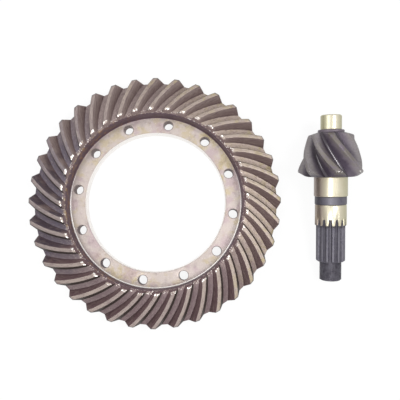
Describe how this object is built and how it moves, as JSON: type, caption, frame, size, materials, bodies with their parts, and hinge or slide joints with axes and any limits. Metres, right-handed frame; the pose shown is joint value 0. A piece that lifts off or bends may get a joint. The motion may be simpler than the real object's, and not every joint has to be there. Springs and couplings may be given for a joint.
{
  "type": "ring and pinion gear set",
  "caption": "Spiral bevel ring gear with a drilled mounting flange, and the pinion shaft that drives it, lying side by side as a matched set for a heavy axle.",
  "frame": {"origin": "on the ring gear's axis at its flat back face, on which it lies", "axes": "+Z along the ring gear's axis towards its teeth, +X towards the pinion that lies beside it, +Y towards the pinion's pilot end"},
  "size_m": [0.515, 0.39, 0.095],
  "materials": {
    "ring_steel": "forged and cut, phosphated, machined bolt face",
    "pinion_steel": "forged and cut, phosphated, ground bearing seats"
  },
  "bodies": {
    "root": {"ring_gear": "ring_steel", "pinion": "pinion_steel"}
  },
  "joints": []
}
